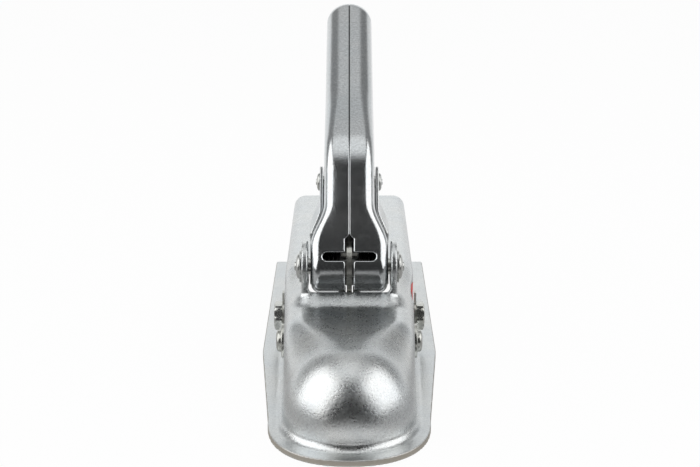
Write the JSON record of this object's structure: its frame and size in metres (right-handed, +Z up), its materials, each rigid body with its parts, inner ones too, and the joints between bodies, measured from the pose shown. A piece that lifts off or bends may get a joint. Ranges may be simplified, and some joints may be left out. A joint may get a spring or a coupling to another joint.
{
  "type": "trailer coupling head",
  "caption": "Pressed-steel trailer ball coupling head with a domed socket, drawbar channel, hand lever with safety catch, and a clamp jaw that the lever draws back off the ball.",
  "frame": {"origin": "centre of the 50 mm towing ball that the dome takes", "axes": "+X across to the right seen from the front, +Y back along the drawbar, +Z up"},
  "size_m": [0.0886, 0.2707, 0.1638],
  "materials": {
    "zinc_pressing": "bright zinc plating on pressed sheet, satin with faint mottling",
    "zinc_lever": "bright zinc plating on folded sheet, smooth satin",
    "zinc_catch": "pale zinc plating on folded sheet",
    "zinc_fasteners": "bright zinc plating on turned and headed steel",
    "zinc_plates": "zinc plating on stamped plate",
    "plain_steel": "turned steel, lightly oiled",
    "forged_steel": "forged steel, dull grey",
    "spring_steel": "dark spring steel",
    "label_film": "printed film"
  },
  "bodies": {
    "body": {"body_shell": "zinc_pressing", "jaw_pin": "zinc_fasteners", "jaw_sleeves": "plain_steel", "lever_pin": "zinc_fasteners", "lever_washers": "zinc_fasteners", "spring_bushes": "plain_steel", "lever_spring": "spring_steel", "indicator_label": "label_film"},
    "lever": {"lever": "zinc_lever", "cam_plate": "zinc_plates", "drive_pin": "plain_steel", "catch_pin": "zinc_fasteners", "catch_spring": "spring_steel"},
    "jaw": {"clamp_jaw": "forged_steel", "fork_plates": "zinc_plates", "jaw_rivets": "zinc_fasteners", "guide_bolt": "zinc_fasteners", "guide_nut": "zinc_fasteners", "guide_sleeves": "plain_steel", "pointer_plates": "zinc_plates"},
    "catch": {"safety_catch": "zinc_catch"}
  },
  "joints": [
    {"name": "lever_hinge", "type": "hinge", "parent": "body", "child": "lever", "pos_m": [0, 0.0675, 0.0455], "axis": [1, 0, 0], "range_deg": [0, 60], "stiffness_Nm_per_rad": 3, "springref_deg": -28.65},
    {"name": "jaw_slide", "type": "slide", "parent": "body", "child": "jaw", "axis": [0, 0.9063, 0.4226], "range_m": [0, 0.0166]},
    {"name": "catch_hinge", "type": "hinge", "parent": "lever", "child": "catch", "pos_m": [0, 0.09212, 0.08142], "axis": [1, 0, 0], "range_deg": [0, 15], "stiffness_Nm_per_rad": 0.1, "springref_deg": -28.65}
  ],
  "couplings": [
    {"joint": "jaw_slide", "follows": "lever_hinge", "m_per_rad": 0.015756}
  ]
}
